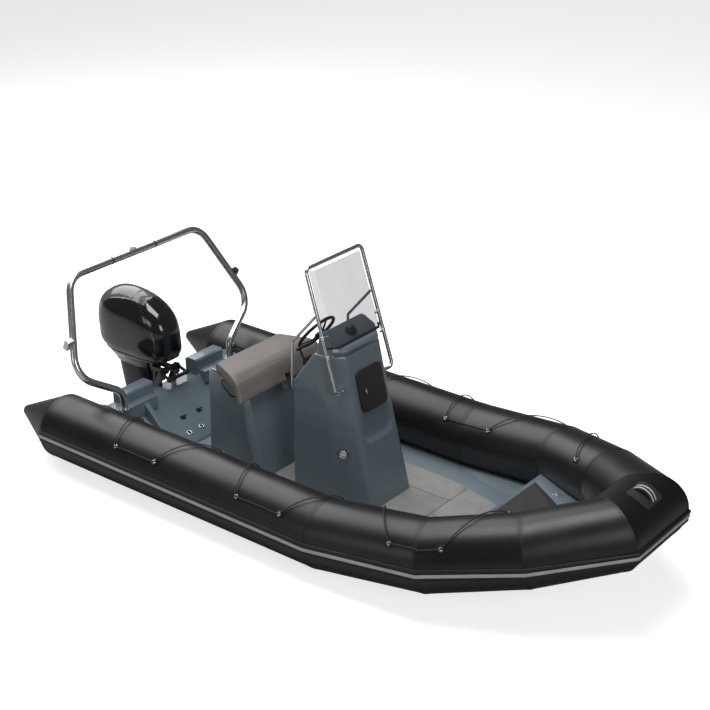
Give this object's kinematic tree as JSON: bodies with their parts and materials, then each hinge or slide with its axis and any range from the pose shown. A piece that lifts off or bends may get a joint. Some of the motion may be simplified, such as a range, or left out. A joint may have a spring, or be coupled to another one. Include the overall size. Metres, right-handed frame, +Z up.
{
  "type": "rigid inflatable boat with console and outboard engine",
  "caption": "Rigid inflatable boat: V hull, segmented tubes, steering console with screen, bench seat, roll bar and a tilting, steering outboard engine.",
  "frame": {"origin": "on the waterline, on the centreline, level with the root of the stern cones", "axes": "+X towards the bow, +Y to port, +Z up"},
  "size_m": [5.4644, 2.516, 2.618],
  "materials": {
    "tube_fabric": "satin coated fabric",
    "strake_rubber": "satin",
    "stripe": "satin",
    "moulding": "gelcoat",
    "floor": "foam decking",
    "dark_plastic": "satin",
    "screen": "smoked acrylic",
    "stainless": "polished tube",
    "cushion": "marine vinyl",
    "engine_paint": "gloss black",
    "engine_metal": "black",
    "rope": "braided"
  },
  "bodies": {
    "boat": {"hull": "moulding", "deck": "moulding", "floor_panels": "floor", "transom_moulding": "moulding", "starboard_tube": "tube_fabric", "port_tube": "tube_fabric", "starboard_shoulder_tube": "tube_fabric", "port_shoulder_tube": "tube_fabric", "bow_tube": "tube_fabric", "rub_strake": "strake_rubber", "strake_stripe": "stripe", "bow_handle": "strake_rubber", "bow_locker": "moulding", "console": "moulding", "console_cap": "moulding", "dashboard": "dark_plastic", "compass_dome": "dark_plastic", "throttle_control": "dark_plastic", "windscreen": "screen", "windscreen_frame": "stainless", "console_grab_rails": "stainless", "seat_base": "moulding", "seat_end_handles": "rope", "roll_bar": "stainless", "stern_light": "dark_plastic", "starboard_lifeline": "rope", "port_lifeline": "rope", "lifeline_pads": "strake_rubber", "clamp_bracket": "engine_metal"},
    "propeller": {"propeller": "engine_metal"},
    "motor": {"engine_cowl": "engine_paint", "engine_pan": "engine_paint", "engine_block": "engine_metal", "engine_leg": "engine_paint", "gearcase": "engine_paint"},
    "tilt_unit": {"swivel_bracket": "engine_metal", "steering_cylinder": "engine_metal"},
    "wheel": {"steering_wheel": "dark_plastic"},
    "hatch": {"console_hatch": "dark_plastic"},
    "locker_lid": {"bow_locker_lid": "dark_plastic"},
    "seat_top": {"seat_lid": "moulding", "seat_cushion": "cushion"}
  },
  "joints": [
    {"name": "engine_tilt", "type": "hinge", "parent": "boat", "child": "tilt_unit", "pos_m": [0.255, 0, 0.50839], "axis": [0, 1, 0], "range_deg": [0, 62]},
    {"name": "engine_steering", "type": "hinge", "parent": "tilt_unit", "child": "motor", "pos_m": [0.1, 0, 0.50839], "axis": [0, 0, 1], "range_deg": [-30, 30]},
    {"name": "propeller_spin", "type": "hinge", "parent": "motor", "child": "propeller", "pos_m": [-0.29, 0, -0.46661], "axis": [1, 0, 0], "continuous": true},
    {"name": "helm", "type": "hinge", "parent": "boat", "child": "wheel", "pos_m": [1.89078, 0, 1.3001], "axis": [-0.8118, 0, 0.5839], "range_deg": [-540, 540]},
    {"name": "hatch_hinge", "type": "hinge", "parent": "boat", "child": "hatch", "pos_m": [2.43021, 0.155, 0.99176], "axis": [-0.2372, 0, 0.9715], "range_deg": [0, 110]},
    {"name": "locker_hinge", "type": "hinge", "parent": "boat", "child": "locker_lid", "pos_m": [4.063, 0, 0.38139], "axis": [0, 1, 0], "range_deg": [0, 75]},
    {"name": "seat_hinge", "type": "hinge", "parent": "boat", "child": "seat_top", "pos_m": [1.05, 0, 0.87539], "axis": [0, -1, 0], "range_deg": [0, 80]}
  ],
  "couplings": [
    {"joint": "engine_steering", "follows": "helm", "ratio": 0.055556}
  ]
}
